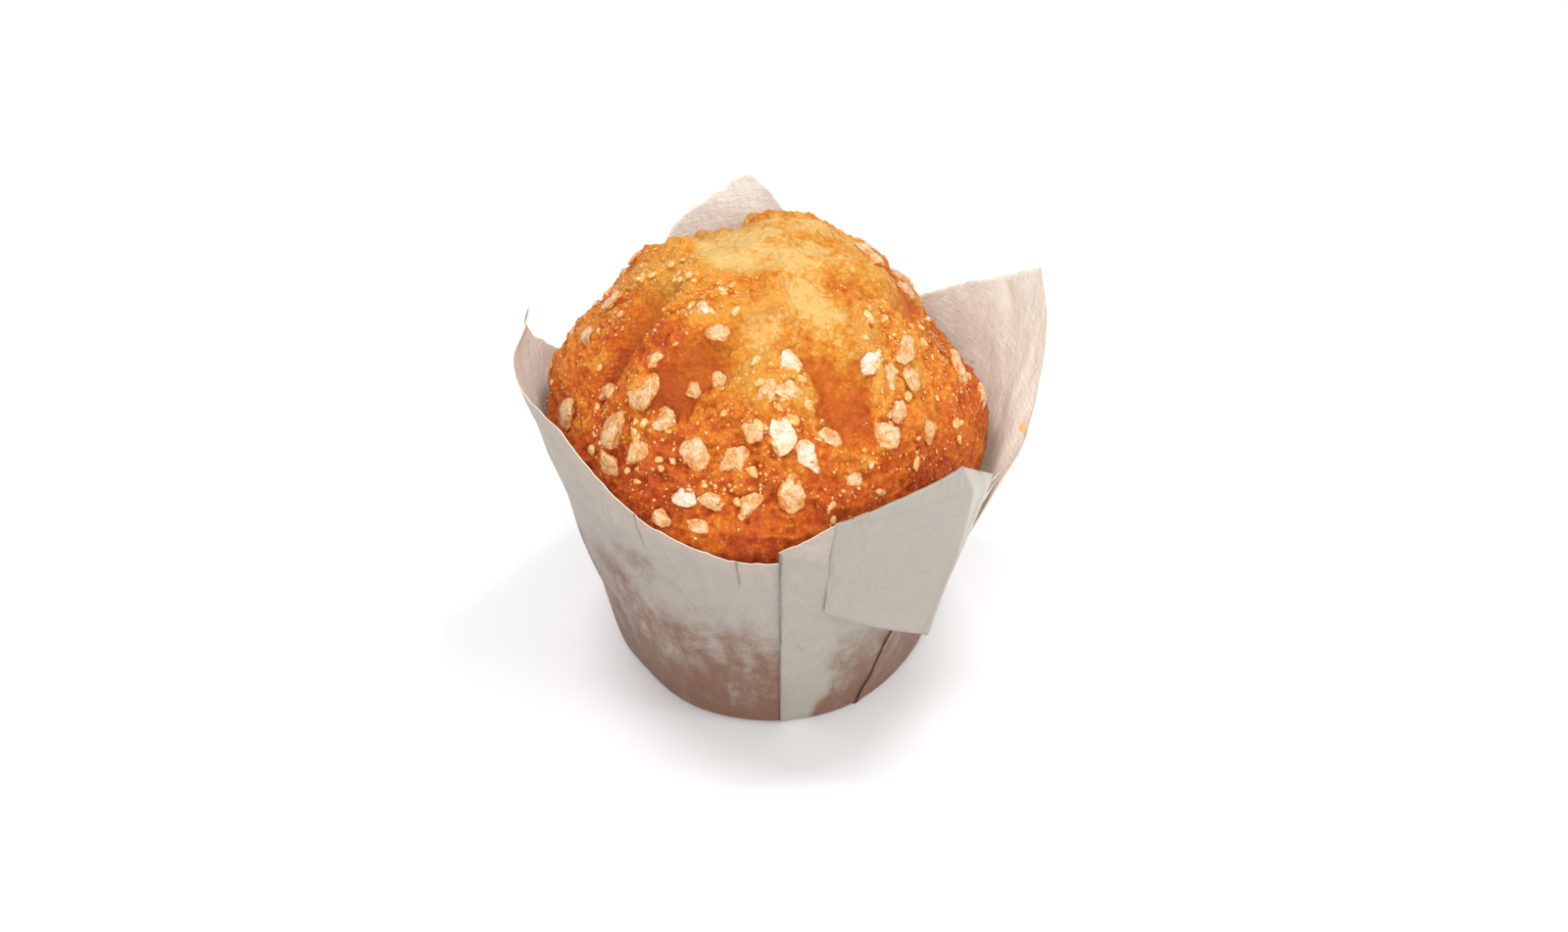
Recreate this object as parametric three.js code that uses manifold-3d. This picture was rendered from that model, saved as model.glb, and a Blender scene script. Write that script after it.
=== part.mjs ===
// A bakery muffin topped with pearl sugar, in the tulip case it was baked in.
//
// Three kinds of piece: the muffin, baked as one; the case, one square sheet of baking paper pressed
// into a cup, whose corners stand up as petals and whose front petal is folded down over the outside;
// and the pearl sugar, each nib a grain of its own in the pocket it sank into the crust.
//
// Millimetres, +Z up. The origin is the centre of the case's flat base, on the surface it stands on.
// Bearings are degrees seen from above, from +X towards +Y, so the front of the object is at 270.
import * as THREE from "three";
import { mergeVertices } from "three/addons/utils/BufferGeometryUtils.js";
import Module from "manifold-3d";

const wasm = await Module();
wasm.setup();

// ---- Driving dimensions ----
const BASE_RADIUS = 27.9; // flat base of the case
const BASE_FILLET = 2.4; // round between the base and the wall
const WALL_LEAN = 14; // degrees that the wall leans out
const PAPER = 0.5; // the sheet, drawn as one skin
const GAP = 0.3; // clearance between pieces that touch
const EQUATOR_RADIUS = 40; // widest circle of the muffin
const EQUATOR_HEIGHT = 49;
const DOME_HEIGHT = 34; // from the equator to the crown
const MUFFIN_SHIFT = new THREE.Vector2(-1.8, 0.5); // the dome leans this far off the case's axis
const MUFFIN_COLUMNS = 48; // facets round the muffin
const CASE_COLUMNS = 72; // facets round the case

const { degToRad, radToDeg, lerp, smoothstep, euclideanModulo, seededRandom } = THREE.MathUtils;

// ---- Shared maths and shapes ----

// A value at any bearing, on straight lines between [bearing, value] pairs listed anticlockwise.
function roundTheClock(pairs, bearing) {
  const [firstBearing, firstValue] = pairs[0];
  const loop = [...pairs, [firstBearing + 360, firstValue]];
  const at = firstBearing + euclideanModulo(bearing - firstBearing, 360);
  const next = loop.findIndex(([pairBearing]) => pairBearing > at);
  const [fromBearing, from] = loop[next - 1];
  const [toBearing, to] = loop[next];
  return lerp(from, to, (at - fromBearing) / (toBearing - fromBearing));
}

function polar(radius, bearing, height) {
  const angle = degToRad(bearing);
  return new THREE.Vector3(radius * Math.cos(angle), radius * Math.sin(angle), height);
}

// Merges a geometry's seams and poles, and moves each vertex to where place(vertex) says.
function shaped(geometry, place) {
  const skin = geometry.clone();
  skin.deleteAttribute("normal");
  skin.deleteAttribute("uv");
  const position = skin.attributes.position;
  const vertex = new THREE.Vector3();
  for (let i = 0; i < position.count; i++) {
    const placed = place(vertex.fromBufferAttribute(position, i));
    position.setXYZ(i, placed.x, placed.y, placed.z);
  }
  return mergeVertices(skin, 1e-3);
}

// A solid of revolution about +Z, with each point of its skin moved by place(radius, bearing, height).
function turned(profile, columns, place) {
  const upright = new THREE.LatheGeometry(profile, columns).rotateX(Math.PI / 2);
  return shaped(upright, ({ x, y, z }) => place(Math.hypot(x, y), radToDeg(Math.atan2(y, x)), z));
}

// ---- Booleans ----

function toSolid(geometry) {
  return new wasm.Manifold(
    new wasm.Mesh({
      numProp: 3,
      vertProperties: new Float32Array(geometry.attributes.position.array),
      triVerts: new Uint32Array(geometry.index.array),
    }),
  );
}

function toGeometry(solid) {
  const { vertProperties, triVerts } = solid.getMesh();
  return new THREE.BufferGeometry()
    .setAttribute("position", new THREE.BufferAttribute(vertProperties, 3))
    .setIndex(new THREE.BufferAttribute(triVerts, 1));
}

// ---- The case's wall ----

const WALL_SLOPE = Math.tan(degToRad(WALL_LEAN));
const FILLET_TURN = degToRad(90 - WALL_LEAN);
const FILLET_TOP = BASE_FILLET * (1 - Math.cos(FILLET_TURN));
const FILLET_STEPS = 3;

// Height of the paper's rim. The petals peak at 11, 96 and 174 degrees. From 272 to 318 degrees the
// rim is the crease over which the front petal folds down.
const RIM = [
  [11, 76], [25, 67], [38, 60], [50, 53], [65, 51], [80, 57], [92, 69], [96, 72.5], [106, 68.5],
  [115, 64.5], [128, 54], [142, 50], [155, 51], [165, 59], [169, 66], [174, 71], [179, 68],
  [185, 65], [195, 63.5], [205, 64.5], [214, 64.5], [223, 60], [230, 56], [239, 52], [249, 49.5],
  [260, 47.5], [271, 48], [273, 51], [284, 57.5], [293, 59], [305, 60], [318, 60], [322, 40],
  [326, 36], [334, 42], [342, 50], [350, 57], [358, 66],
];

// How far the rim stands out from the straight cone.
const FLARE = [
  [11, 1.4], [30, 1.2], [50, 0], [96, 0], [150, 0], [166, 1], [174, -1.5], [180, 0.6], [190, 1.2],
  [206, 0], [318, 0], [330, 1.2], [350, 3.2],
];

// At the front the right side of the sheet laps over the left, and the lap dies out to the right.
const LAP_BEARING = 271;
const LAP_END = 325;
const LAP_STEP = 0.9;

function coneRadius(height) {
  if (height >= FILLET_TOP) {
    return BASE_RADIUS + BASE_FILLET * Math.sin(FILLET_TURN) + (height - FILLET_TOP) * WALL_SLOPE;
  }
  return BASE_RADIUS + Math.sqrt(BASE_FILLET ** 2 - (BASE_FILLET - height) ** 2);
}

function rimHeight(bearing) {
  return roundTheClock(RIM, bearing);
}

function flare(bearing, height) {
  const rim = rimHeight(bearing);
  return roundTheClock(FLARE, bearing) * smoothstep(height, rim / 2, rim);
}

function lap(bearing, height) {
  const past = euclideanModulo(bearing - LAP_BEARING, 360);
  const dying = 1 - smoothstep(past, 0, LAP_END - LAP_BEARING);
  return LAP_STEP * dying * smoothstep(past, 0, 1) * smoothstep(height, 2, 20);
}

// The profile of the wall, from the axis along the floor and up to `top`, inset from the outer skin.
function wallProfile(inset, top, rows) {
  const arc = BASE_FILLET - inset;
  const fillet = Array.from({ length: FILLET_STEPS + 1 }, (_, step) => {
    const turn = (FILLET_TURN * step) / FILLET_STEPS;
    return [BASE_RADIUS + arc * Math.sin(turn), BASE_FILLET - arc * Math.cos(turn)];
  });
  const [footRadius, footHeight] = fillet.at(-1);
  const cone = Array.from({ length: rows }, (_, row) => {
    const rise = ((top - footHeight) * (row + 1)) / rows;
    return [footRadius + rise * WALL_SLOPE, footHeight + rise];
  });
  return [[0, inset], ...fillet, ...cone].map(([radius, height]) => new THREE.Vector2(radius, height));
}

// ---- Paper case ----

const CUP_TOP = 60; // the plain cup's height, before its rim is drawn to its petals
const CUP_ROWS = 7;

function paperCup() {
  const outside = wallProfile(0, CUP_TOP, CUP_ROWS);
  const inside = wallProfile(PAPER, CUP_TOP, CUP_ROWS);
  return turned([...outside, ...inside.reverse()], CASE_COLUMNS, (radius, bearing, height) => {
    if (height < BASE_FILLET) return polar(radius, bearing, height);
    const stretch = (rimHeight(bearing) - BASE_FILLET) / (CUP_TOP - BASE_FILLET);
    const drawn = BASE_FILLET + (height - BASE_FILLET) * stretch;
    const isOutside = radius > coneRadius(height) - PAPER / 2;
    const spread = flare(bearing, drawn) + (isOutside ? lap(bearing, drawn) : 0);
    return polar(radius + coneRadius(drawn) - coneRadius(height) + spread, bearing, drawn);
  });
}

// The front petal, folded down over the outside. Its two ends run from the crease to the free edge,
// and each point gives a bearing, how far the paper stands proud of the wall, and a height.
const FLAP_LEFT_END = new THREE.LineCurve3(
  new THREE.Vector3(276, 0.5, 53),
  new THREE.Vector3(284, 0.5, 33),
);
const FLAP_RIGHT_END = new THREE.CatmullRomCurve3([
  new THREE.Vector3(318, 0.8, 60),
  new THREE.Vector3(326, 2.2, 54),
  new THREE.Vector3(317, 4, 36),
  new THREE.Vector3(313, 5.5, 22),
]);
const FLAP_COLUMNS = 10;
const FLAP_ROWS = 8;
const FOLD_RISE = 0.3; // the folded edge stands this far over the wall's

function foldedPetal() {
  const slab = new THREE.BoxGeometry(1, 1, 1, FLAP_COLUMNS, 1, FLAP_ROWS);
  return shaped(slab, ({ x, y, z }) => {
    const along = 0.5 + x;
    const down = 0.5 - z;
    const middle = FLAP_LEFT_END.getPoint(down).lerp(FLAP_RIGHT_END.getPoint(down), along);
    const [bearing, proud, level] = middle.toArray();
    const height = lerp(level, rimHeight(bearing) + FOLD_RISE, (1 - down) ** 4);
    const underside = lerp(-PAPER / 2, proud - PAPER, smoothstep(proud, 0.7, 1.7));
    const outerSkin = coneRadius(height) + lap(bearing, height);
    return polar(outerSkin + (y < 0 ? proud : underside), bearing, height);
  });
}

function paperCase() {
  return toGeometry(toSolid(paperCup()).add(toSolid(foldedPetal())));
}

// ---- Muffin ----

// Swellings and hollows of the crust: where the middle is in x and y, how long and how wide it is,
// the bearing it runs along, and how far it stands out.
const CRUST_RELIEF = [
  [0, -25, 9, 5, 0, 2.5], // sugared crest at the front
  [-11, -21, 10, 6, 15, -2.4], // hollow left of the crest
  [8, -20, 10, 5, 315, -2.4], // hollow right of the crest
  [-25, -8, 9, 4.5, 40, -2.6], // hollow on the left flank
  [-23, -15, 10, 4, 40, 1.2], // ridge below it
  [14, -15, 10, 4, 300, 1.6], // ridge on the right
  [-3, 12, 10, 11, 0, 3], // crown
  [-21, 10, 9, 8, 0, 2.4], // left shoulder of the crown
  [20, 9, 8, 6, 20, 1], // right shoulder of the crown
  [30, 9, 8, 5, 90, -2.2], // dent under it
  [-37, 0, 9, 5, 90, 3.2], // cheeks, just over the rim
  [37, -3, 9, 5, 90, 2.8],
  [6, 24, 9, 6, 0, 1.6],
  [-14, 25, 9, 5, 30, -1.8],
  [20, 24, 9, 5, 330, -1.8],
];

function relief(x, y) {
  return CRUST_RELIEF.reduce((total, [middleX, middleY, length, width, bearing, out]) => {
    const offset = new THREE.Vector2(x - middleX, y - middleY);
    offset.rotateAround(new THREE.Vector2(), -degToRad(bearing));
    return total + out * Math.exp(-((offset.x / length) ** 2) - (offset.y / width) ** 2);
  }, 0);
}

const DOME_BOW = 2.4; // 2 is round in plan profile, more is flatter on top
const DOME_LIFT = 1.2;

// The plain dome: climb is 0 at the equator and 1 at the crown.
function domeProfile(climb) {
  const out = Math.cos((climb * Math.PI) / 2);
  const up = (1 - out ** DOME_BOW) ** (1 / DOME_LIFT);
  return new THREE.Vector2(EQUATOR_RADIUS * out, EQUATOR_HEIGHT + DOME_HEIGHT * up);
}

const EQUATOR_HOLD = 14; // how sharply the relief dies out at the equator

// A point on the plain dome lifted by the relief and by `lift`, and kept clear of the case's wall.
function onCrust(radius, bearing, height, lift = 0) {
  const rise = smoothstep(height, EQUATOR_HEIGHT / 2, EQUATOR_HEIGHT);
  const point = polar(radius, bearing, height);
  point.x += MUFFIN_SHIFT.x * rise;
  point.y += MUFFIN_SHIFT.y * rise;
  if (height > EQUATOR_HEIGHT) {
    const steep = radius / EQUATOR_RADIUS;
    const outward = polar(steep, bearing, Math.sqrt(Math.max(0, 1 - steep ** 2)));
    point.addScaledVector(outward, relief(point.x, point.y) * (1 - steep ** EQUATOR_HOLD) + lift);
  }
  return point;
}

function keptInCase(point) {
  const reach = Math.hypot(point.x, point.y);
  const bearing = radToDeg(Math.atan2(point.y, point.x));
  const room = coneRadius(point.z) + flare(bearing, point.z) - PAPER - GAP;
  if (reach <= room || point.z < BASE_FILLET) return point;
  return polar(room, bearing, point.z);
}

const BELLY_ROWS = 7;
const DOME_ROWS = 13;

function muffinBlank() {
  const belly = wallProfile(PAPER + GAP, EQUATOR_HEIGHT, BELLY_ROWS);
  belly.at(-1).x = EQUATOR_RADIUS;
  const dome = Array.from({ length: DOME_ROWS }, (_, row) => domeProfile((row + 1) / DOME_ROWS));
  dome.at(-1).x = 0;
  return turned([...belly, ...dome], MUFFIN_COLUMNS, (radius, bearing, height) =>
    keptInCase(onCrust(radius, bearing, height)),
  );
}

// ---- Pearl sugar ----

// The larger nibs on the front and flanks: bearing, distance out from the dome's axis, and radius.
const FRONT_NIBS = [
  [198, 37, 2.3], [219, 34, 2.2], [206, 32, 1.9], [224, 29, 2.3], [235, 31, 1.9], [223, 37, 1.8],
  [230, 35, 1.8], [248, 33, 2.1], [261, 33, 1.9], [248, 37, 1.4], [257, 37, 1.4], [266, 37, 1.8],
  [278, 36, 2.5], [296, 36, 1.9], [243, 39, 1.6], [253, 39, 1.3], [276, 30, 2.2], [272, 26, 1.6],
  [279, 26, 1.6], [267, 30, 1.5], [280, 22, 1.6], [291, 32, 1.9], [283, 33, 1.9], [316, 26, 1.8],
  [336, 27, 1.9], [323, 28, 1.5], [330, 30, 1.5], [352, 34, 2.2], [355, 38, 1.6], [319, 32, 1.7],
  [308, 33, 1.7], [326, 35, 1.7], [243, 17, 1.7], [225, 16, 1.5], [221, 25, 1.5], [43, 24, 2.3],
  [31, 20, 1.6], [16, 27, 1.8], [171, 27, 1.6], [152, 24, 1.6], [181, 31, 1.8], [250, 24, 1.3],
  [240, 26, 1.3], [200, 39, 1.3],
];

// The back is strewn evenly: each nib a golden angle on from the last, within the back's bearings.
const BACK_NIBS = 14;
const BACK_BEARINGS = [22, 168];
const BACK_REACH = [17, 37];
const GOLDEN_RATIO = (1 + Math.sqrt(5)) / 2;

function backNib(index) {
  const turn = (index * GOLDEN_RATIO) % 1;
  const outward = Math.sqrt((index + 0.5) / BACK_NIBS);
  return [lerp(...BACK_BEARINGS, turn), lerp(...BACK_REACH, outward), lerp(1.5, 2.3, seededRandom())];
}

const NIB_SINK = 0.1; // how much of its radius a nib's middle stands above the crust
const POCKET_GROWTH = 1.3;

// Where a nib's middle sits, given its distance out from the dome's axis.
function nibMiddle(bearing, reach, radius) {
  const out = Math.min(reach / EQUATOR_RADIUS, 1);
  const climb = Math.acos(out) / (Math.PI / 2);
  const profile = domeProfile(climb);
  return onCrust(profile.x, bearing, profile.y, NIB_SINK * radius);
}

// A rough grain: each corner of an icosahedron moved in or out by its own amount.
function nibGrain(radius) {
  const grain = shaped(new THREE.IcosahedronGeometry(radius, 0), (corner) => corner);
  return shaped(grain, (corner) => corner.multiplyScalar(lerp(0.72, 1.08, seededRandom())));
}

// ---- Materials ----

const crust = new THREE.MeshStandardMaterial({ color: 0xd9923a, roughness: 0.65, metalness: 0 });
const bakingPaper = new THREE.MeshStandardMaterial({ color: 0xcfc8bd, roughness: 0.6, metalness: 0 });
const pearlSugar = new THREE.MeshStandardMaterial({ color: 0xf3e6cf, roughness: 0.4, metalness: 0 });

function part(name, geometry, material) {
  const mesh = new THREE.Mesh(geometry, material);
  mesh.name = name;
  return mesh;
}

// ---- The object ----

seededRandom(41);
const object = new THREE.Group();
object.add(part("paper_case", paperCase(), bakingPaper));

let muffin = toSolid(muffinBlank());
const nibs = [...FRONT_NIBS, ...Array.from({ length: BACK_NIBS }, (_, index) => backNib(index))];
nibs.forEach(([bearing, reach, radius], index) => {
  const grain = nibGrain(radius);
  const middle = nibMiddle(bearing, reach, radius);
  const pocket = grain.clone().scale(POCKET_GROWTH, POCKET_GROWTH, POCKET_GROWTH);
  pocket.translate(middle.x, middle.y, middle.z);
  muffin = muffin.subtract(toSolid(pocket));
  const nib = part(`sugar_nib_${String(index + 1).padStart(2, "0")}`, grain, pearlSugar);
  nib.position.copy(middle);
  object.add(nib);
});
object.add(part("muffin", toGeometry(muffin), crust));

export default object;
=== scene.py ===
"""A bakery muffin topped with pearl sugar, in the tulip case of baking paper it was baked in.

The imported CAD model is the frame: the muffin, the paper case and each large sugar nib take the
places of their CAD nodes, and fine sugar is strewn between the nibs. Shapes are worked out in
millimetres, with the origin at the centre of the case's base, +Z up and the front towards -Y.
Bearings are degrees seen from above, from +X towards +Y, so the front is at 270.
"""

import math

import bpy
import numpy as np
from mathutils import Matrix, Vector


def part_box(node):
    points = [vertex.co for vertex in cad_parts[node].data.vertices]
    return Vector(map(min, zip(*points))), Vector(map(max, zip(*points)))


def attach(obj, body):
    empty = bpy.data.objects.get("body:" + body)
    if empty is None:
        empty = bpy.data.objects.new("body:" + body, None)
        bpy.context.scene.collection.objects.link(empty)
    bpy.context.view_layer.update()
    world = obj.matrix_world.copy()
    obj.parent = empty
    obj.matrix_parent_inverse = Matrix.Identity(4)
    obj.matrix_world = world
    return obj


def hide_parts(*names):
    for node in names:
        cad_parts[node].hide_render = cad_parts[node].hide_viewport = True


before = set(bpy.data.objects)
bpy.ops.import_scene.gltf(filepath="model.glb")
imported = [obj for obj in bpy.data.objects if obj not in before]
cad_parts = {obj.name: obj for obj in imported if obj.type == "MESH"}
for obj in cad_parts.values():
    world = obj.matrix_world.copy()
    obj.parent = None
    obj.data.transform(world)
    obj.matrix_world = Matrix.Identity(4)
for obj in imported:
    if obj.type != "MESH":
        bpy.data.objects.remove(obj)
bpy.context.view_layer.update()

MM = 0.001
ALONG_PER_DEGREE = 0.6  # millimetres along the sheet, as the paper's finish counts them
# Short tears in the rim: bearing, counted on round the sheet past 360, and the height each runs
# down to.
SLITS = [(595.5, 44), (621, 40)]

# ---- The muffin in its case, as the CAD model has it ----
BASE_RADIUS = 27.9
BASE_FILLET = 2.4
WALL_SLOPE = math.tan(math.radians(14))
FILLET_TURN = math.radians(90 - 14)
FILLET_TOP = BASE_FILLET * (1 - math.cos(FILLET_TURN))
FOOT_RADIUS = BASE_RADIUS + BASE_FILLET * math.sin(FILLET_TURN)
PAPER_ROOM = 0.8  # between the outside of the case and the cake
EQUATOR_RADIUS = 40
EQUATOR_HEIGHT = 49
DOME_HEIGHT = 34
DOME_BOW = 2.4  # the dome's power along the radius
DOME_LIFT = 1.2  # and its power up the height
MUFFIN_SHIFT = (-1.8, 0.5)  # of the dome's middle in x and y


# ---- Shared maths on whole arrays ----


def smoothstep(x, low, high):
    """0 below low, 1 above high, and 3t^2 - 2t^3 between them."""
    t = np.clip((x - low) / (high - low), 0, 1)
    return t * t * (3 - 2 * t)


def hump(x, middle, width):
    """A bell curve: exp of minus the square of the distance over the width."""
    return np.exp(-(((x - middle) / width) ** 2))


def lattice(ix, iy, iz, seed):
    """A number from -1 to 1 for each whole-number place: its coordinates are multiplied by primes,
    joined bit by bit and mixed by shifts."""
    mix = (ix * 73856093) ^ (iy * 19349663) ^ (iz * 83492791) ^ (seed * 2654435761)
    mix &= 0xFFFFFFFF
    mix = ((mix ^ (mix >> 15)) * 2246822519) & 0xFFFFFFFF
    mix = ((mix ^ (mix >> 13)) * 3266489917) & 0xFFFFFFFF
    return ((mix ^ (mix >> 16)) & 0xFFFF) / 32767.5 - 1


def noise(points, size, seed):
    """Value noise with features of one size: lattice numbers blended by 6t^5 - 15t^4 + 10t^3."""
    scaled = np.asarray(points, float) / size
    low = np.floor(scaled).astype(np.int64)
    t = scaled - low
    blend = t * t * t * (t * (t * 6 - 15) + 10)
    total = 0
    for corner in range(8):
        step = np.array([corner & 1, corner >> 1 & 1, corner >> 2])
        share = np.prod(np.where(step, blend, 1 - blend), axis=-1)
        total = total + share * lattice(*np.moveaxis(low + step, -1, 0), seed)
    return total


def rough(points, size, octaves, seed):
    """Noise summed over octaves, each half the size and half the height of the one before."""
    return sum(noise(points, size / 2**k, seed + k) / 2**k for k in range(octaves))


def polar(radius, bearing, height):
    """Points from radius, bearing in degrees and height, all broadcast together."""
    angle = np.radians(bearing)
    return np.stack(np.broadcast_arrays(radius * np.cos(angle), radius * np.sin(angle), height), -1)


def unit(vectors):
    """Each vector over its own length."""
    return vectors / np.maximum(np.linalg.norm(vectors, axis=-1, keepdims=True), 1e-9)


# ---- Meshes from arrays ----


def grid_faces(rows, columns, closed):
    """Quads between neighbours of a grid whose points are numbered row by row. Closed joins the
    last column to the first."""
    row, column = np.meshgrid(np.arange(rows - 1), np.arange(columns - (not closed)), indexing="ij")
    after = (column + 1) % columns
    quads = [row * columns + column, row * columns + after, (row + 1) * columns + after]
    return np.stack([*quads, (row + 1) * columns + column], -1).reshape(-1, 4)


def fan_faces(ring, pole, outward):
    """Triangles from one ring of points to a pole."""
    after = np.roll(ring, -1)
    sides = (ring, after) if outward else (after, ring)
    return np.stack([*sides, np.full(len(ring), pole)], -1)


def make_piece(name, points, faces, materials, attributes=None):
    """A mesh object at the origin from points in millimetres and a list of arrays of faces."""
    mesh = bpy.data.meshes.new(name)
    mesh.vertices.add(len(points))
    mesh.vertices.foreach_set("co", (np.asarray(points) * MM).astype(np.float32).ravel())
    sizes = np.concatenate([np.full(len(part), part.shape[1]) for part in faces])
    corners = np.concatenate([part.ravel() for part in faces]).astype(np.int32)
    mesh.loops.add(len(corners))
    mesh.loops.foreach_set("vertex_index", corners)
    mesh.polygons.add(len(sizes))
    starts = np.concatenate([[0], np.cumsum(sizes)[:-1]]).astype(np.int32)
    mesh.polygons.foreach_set("loop_start", starts)
    mesh.polygons.foreach_set("use_smooth", np.ones(len(sizes), bool))
    for key, values in (attributes or {}).items():
        layer = mesh.attributes.new(key, "FLOAT", "POINT")
        layer.data.foreach_set("value", np.asarray(values, np.float32).ravel())
    for material in materials:
        mesh.materials.append(material)
    mesh.update(calc_edges=True)
    mesh.validate()
    piece = bpy.data.objects.new(name, mesh)
    bpy.context.scene.collection.objects.link(piece)
    return piece


def settle(piece, slot, *nodes):
    """Rides the piece on the one body and hides the CAD nodes it stands for. The slot is not used."""
    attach(piece, "root")
    if nodes:
        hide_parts(*nodes)


# ---- Shader maths ----


class Signal:
    """A shader socket that joins in Python arithmetic: each operator adds a Math node."""

    def __init__(self, tree, socket):
        self.tree = tree
        self.socket = socket

    def math(self, operation, *values):
        """A Math node on values, each a signal or a number."""
        node = self.tree.nodes.new("ShaderNodeMath")
        node.operation = operation
        for socket, value in zip(node.inputs, values):
            plug(self.tree, socket, value)
        return Signal(self.tree, node.outputs[0])

    def __add__(self, other):
        return self.math("ADD", self, other)

    def __sub__(self, other):
        return self.math("SUBTRACT", self, other)

    def __rsub__(self, other):
        return self.math("SUBTRACT", other, self)

    def __mul__(self, other):
        return self.math("MULTIPLY", self, other)

    __radd__ = __add__
    __rmul__ = __mul__

    def __abs__(self):
        return self.math("ABSOLUTE", self)

    def step(self, low, high):
        """Smoothstep from 0 at low to 1 at high."""
        node = self.tree.nodes.new("ShaderNodeMapRange")
        node.interpolation_type = "SMOOTHSTEP"
        for key, value in {"Value": self, "From Min": low, "From Max": high}.items():
            plug(self.tree, node.inputs[key], value)
        return Signal(self.tree, node.outputs[0])


def plug(tree, socket, value):
    """Links a signal to a socket, or sets the socket to a plain value. A colour gets its alpha."""
    if isinstance(value, Signal):
        tree.links.new(value.socket, socket)
    elif socket.type == "RGBA":
        socket.default_value = (*value, 1)
    else:
        socket.default_value = value


class Finish:
    """A material made of nodes, around one Principled shader."""

    def __init__(self, name):
        self.material = bpy.data.materials.new(name)
        self.material.use_nodes = True
        self.tree = self.material.node_tree
        self.shader = self.tree.nodes["Principled BSDF"]

    def add(self, kind, settings=None, sockets=None, output=0):
        """Adds a node: its settings first, then the values or links of its sockets."""
        node = self.tree.nodes.new("ShaderNode" + kind)
        for key, value in (settings or {}).items():
            if key == "stops":
                self.set_stops(node.color_ramp, value)
            else:
                setattr(node, key, value)
        for key, value in (sockets or {}).items():
            plug(self.tree, node.inputs[key], value)
        return Signal(self.tree, node.outputs[output])

    def set_stops(self, ramp, stops):
        """Gives a colour ramp its stops of place and colour."""
        while len(ramp.elements) < len(stops):
            ramp.elements.new(1)
        for element, (place, colour) in zip(ramp.elements, stops):
            element.position = place
            element.color = (*colour, 1)

    def where(self):
        """Object coordinates, in metres."""
        return self.add("TexCoord", output=3)

    def attribute(self, name):
        """A number that the mesh holds at each point."""
        return self.add("Attribute", {"attribute_name": name}, output=2)

    def noise(self, place, scale, detail, roughness):
        """Noise from 0 to 1 at a place that is any vector."""
        sockets = {"Vector": place, "Scale": scale, "Detail": detail, "Roughness": roughness}
        return self.add("TexNoise", None, sockets)

    def grain(self, size, detail=3, roughness=0.55):
        """Noise from 0 to 1 whose features are about size millimetres."""
        return self.noise(self.where(), 1 / (size * MM), detail, roughness)

    def cells(self, size):
        """Distance to the nearest of random points about size millimetres apart."""
        return self.add("TexVoronoi", None, {"Vector": self.where(), "Scale": 1 / (size * MM)})

    def mix(self, share, first, second):
        """Colours mixed by a share."""
        node = self.tree.nodes.new("ShaderNodeMix")
        node.data_type = "RGBA"
        inputs = {socket.identifier: socket for socket in node.inputs}
        outputs = {socket.identifier: socket for socket in node.outputs}
        plug(self.tree, inputs["Factor_Float"], share)
        plug(self.tree, inputs["A_Color"], first)
        plug(self.tree, inputs["B_Color"], second)
        return Signal(self.tree, outputs["Result_Color"])

    def ramp(self, share, stops):
        """Colours along stops of place and colour."""
        return self.add("ValToRGB", {"stops": stops}, {"Fac": share})

    def bump(self, height, depth):
        """A bump of the given depth in millimetres for a height signal from 0 to 1."""
        return self.add("Bump", None, {"Height": height, "Distance": depth * MM, "Strength": 1.0})

    def finish(self, **sockets):
        """Sets the shader's own sockets, named with underscores for spaces."""
        for key, value in sockets.items():
            plug(self.tree, self.shader.inputs[key.replace("_", " ")], value)
        return self.material


# ---- Finishes ----


def crust_finish():
    """Baked crust: golden to red-brown and gritty where it browned, smooth yellow to orange crumb
    where it cracked open, with specks of melted sugar. The crumb's orange lower down is partly
    painted shade deep in the cracks, and the grain is darker in its crevices as painted shade."""
    f = Finish("baked_crust")
    hollow = f.attribute("hollow")
    bake = f.attribute("bake")
    patches = f.grain(6, 3)
    fine = f.grain(1.1, 4, 0.7)
    speck = f.grain(0.42, 3, 0.7)
    cells = f.cells(0.95)
    # Random tone from the fine noises, plus painted shade in the crevices: darker towards the borders
    # of the cells.
    grain_tone_and_crevice_shade = (fine - 0.5) * 0.8 + (speck - 0.5) * 0.9 + (cells - 0.45) * 0.55
    plate = f.ramp(
        bake + (patches - 0.5) * 0.5 + grain_tone_and_crevice_shade,
        [
            (0.0, (1.0, 0.43, 0.055)),
            (0.25, (0.96, 0.31, 0.022)),
            (0.5, (0.84, 0.185, 0.010)),
            (0.75, (0.74, 0.115, 0.010)),
            (1.0, (0.54, 0.065, 0.010)),
        ],
    )
    gold = (speck * 0.6 + fine * 0.4).step(0.54, 0.64)
    plate = f.mix(gold * 0.4, plate, (1.0, 0.58, 0.16))
    # Crumb colour: pale on the crown, more orange lower down, partly from browning and partly as
    # painted shade deep in the cracks.
    crumb = f.ramp(
        bake + (patches - 0.5) * 0.8 + (f.grain(2.4, 3, 0.6) - 0.5) * 0.9 + grain_tone_and_crevice_shade * 0.6,
        [
            (0.0, (0.74, 0.47, 0.15)),
            (0.3, (0.68, 0.27, 0.018)),
            (0.6, (0.56, 0.13, 0.003)),
            (1.0, (0.44, 0.075, 0.002)),
        ],
    )
    colour = f.mix(hollow, plate, crumb)
    grit = (fine * 0.8 + speck * 0.8 - cells * 0.6) * (1 - 0.6 * hollow)
    normal = f.bump(grit, 1.25)
    return f.finish(
        Base_Color=colour,
        Roughness=0.52 - 0.38 * gold * (1 - 0.4 * hollow),
        Coat_Weight=gold * 0.5,
        Coat_Roughness=0.12,
        Normal=normal,
        Subsurface_Weight=0.1,
        Subsurface_Radius=(1.0, 0.45, 0.1),
        Subsurface_Scale=0.0008,
        Specular_IOR_Level=0.32,
    )


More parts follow.
